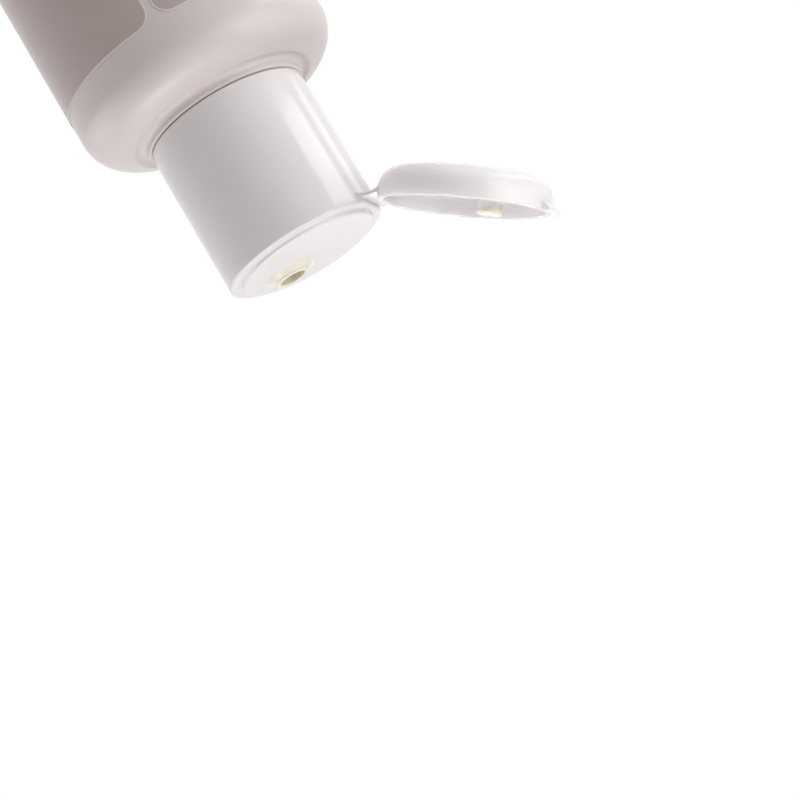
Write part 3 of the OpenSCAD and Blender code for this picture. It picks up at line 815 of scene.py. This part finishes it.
# %% Floor
def floor_material():
    """Pale and matt near the bottle; for camera, glossy and see-through rays it fades to white
    with the distance from the bottle."""
    made = bpy.data.materials.new("studio_floor")
    made.use_nodes = True
    tree = made.node_tree
    tree.nodes.clear()
    spot = node(tree, "ShaderNodeTexCoord")
    length = node(tree, "ShaderNodeVectorMath", {"operation": "LENGTH"})
    fade = node(tree, "ShaderNodeMapRange", {"interpolation_type": "SMOOTHSTEP"},
                **{"From_Min": 0.06, "From_Max": 0.14})
    share = node(tree, "ShaderNodeMath", {"operation": "MULTIPLY"})
    matt = node(tree, "ShaderNodeBsdfDiffuse", Color=(0.82, 0.82, 0.82, 1))
    white = node(tree, "ShaderNodeEmission", Color=(1, 1, 1, 1), Strength=1.0)
    mix = node(tree, "ShaderNodeMixShader")
    out = node(tree, "ShaderNodeOutputMaterial")
    join(tree, spot.outputs["Object"], length.inputs[0])
    join(tree, length.outputs["Value"], fade.inputs["Value"])
    join(tree, seen_directly(tree), share.inputs[0])
    join(tree, fade.outputs["Result"], share.inputs[1])
    join(tree, share.outputs[0], mix.inputs[0])
    join(tree, matt.outputs[0], mix.inputs[1])
    join(tree, white.outputs[0], mix.inputs[2])
    join(tree, mix.outputs[0], out.inputs["Surface"])
    return made


floor_reach = 30
floor_mesh = bpy.data.meshes.new("floor")
floor_mesh.from_pydata([(-floor_reach, -floor_reach, 0), (floor_reach, -floor_reach, 0),
                        (floor_reach, floor_reach, 0), (-floor_reach, floor_reach, 0)], [], [(0, 1, 2, 3)])
floor = bpy.data.objects.new("floor", floor_mesh)
floor.data.materials.append(floor_material())
scene.collection.objects.link(floor)


# %% Lamps
def soft_box(name, place, aim, width, height, watts, spread=180):
    """A rectangular lamp at place, in metres, that faces aim. A small spread, in degrees, narrows
    its beam as a grid in front of it does."""
    lamp_data = bpy.data.lights.new(name, "AREA")
    lamp_data.shape = "RECTANGLE"
    lamp_data.size = width
    lamp_data.size_y = height
    lamp_data.energy = watts
    lamp_data.spread = math.radians(spread)
    lamp = bpy.data.objects.new(name, lamp_data)
    lamp.location = place
    lamp.rotation_euler = (Vector(aim) - Vector(place)).to_track_quat("-Z", "Y").to_euler()
    lamp.visible_camera = False
    scene.collection.objects.link(lamp)
    return lamp


cap_spot, low_spot, open_lid_spot = (0, 0, 0.125), (0, 0, 0.04), (0, 0.027, 0.147)
soft_box("strip_hinge_side", (0.02, 0.28, 0.04), low_spot, 0.17, 0.06, 0.11)
soft_box("strip_behind", (0.187, 0.208, 0.04), low_spot, 0.075, 0.06, 0.02)
soft_box("wide_hinge_side", (-0.19, 0.38, 0.26), cap_spot, 0.3, 0.3, 0.7)
soft_box("high_hinge_side", (0.0, 0.42, 0.40), cap_spot, 0.35, 0.35, 0.5)
soft_box("wide_front_side", (0.0, -0.55, 0.25), cap_spot, 0.5, 0.4, 1.05)
soft_box("over_lid", (0.0, -0.10, 0.36), open_lid_spot, 0.14, 0.14, 0.2)
soft_box("into_lid", (-0.03, -0.10, 0.32), (0, 0.028, 0.148), 0.03, 0.03, 0.0015, spread=12)
soft_box("near_cap", (-0.12, 0.02, 0.25), cap_spot, 0.1, 0.1, 0.02)
soft_box("overhead", (0.05, 0.0, 0.75), cap_spot, 0.5, 0.5, 0.8)

print("lamps:", len(bpy.data.lights))

# %% [markdown]
# The world is white where a camera ray or a reflection looks at it, and dim and slightly warm for the
# light that it sheds, so that the background is white while the shaded sides keep their tone.

# %% World
world = bpy.data.worlds.new("studio")
scene.world = world
world.use_nodes = True
sky = world.node_tree
sky.nodes.clear()
dim = node(sky, "ShaderNodeBackground", Color=(0.165, 0.13, 0.133, 1), Strength=1.0)
bright = node(sky, "ShaderNodeBackground", Color=(1, 1, 1, 1), Strength=1.0)
pick = node(sky, "ShaderNodeMixShader")
sky_out = node(sky, "ShaderNodeOutputWorld")
join(sky, seen_directly(sky), pick.inputs[0])
join(sky, dim.outputs[0], pick.inputs[1])
join(sky, bright.outputs[0], pick.inputs[2])
join(sky, pick.outputs[0], sky_out.inputs["Surface"])
scene.view_settings.view_transform = "Standard"
print("view transform:", scene.view_settings.view_transform)
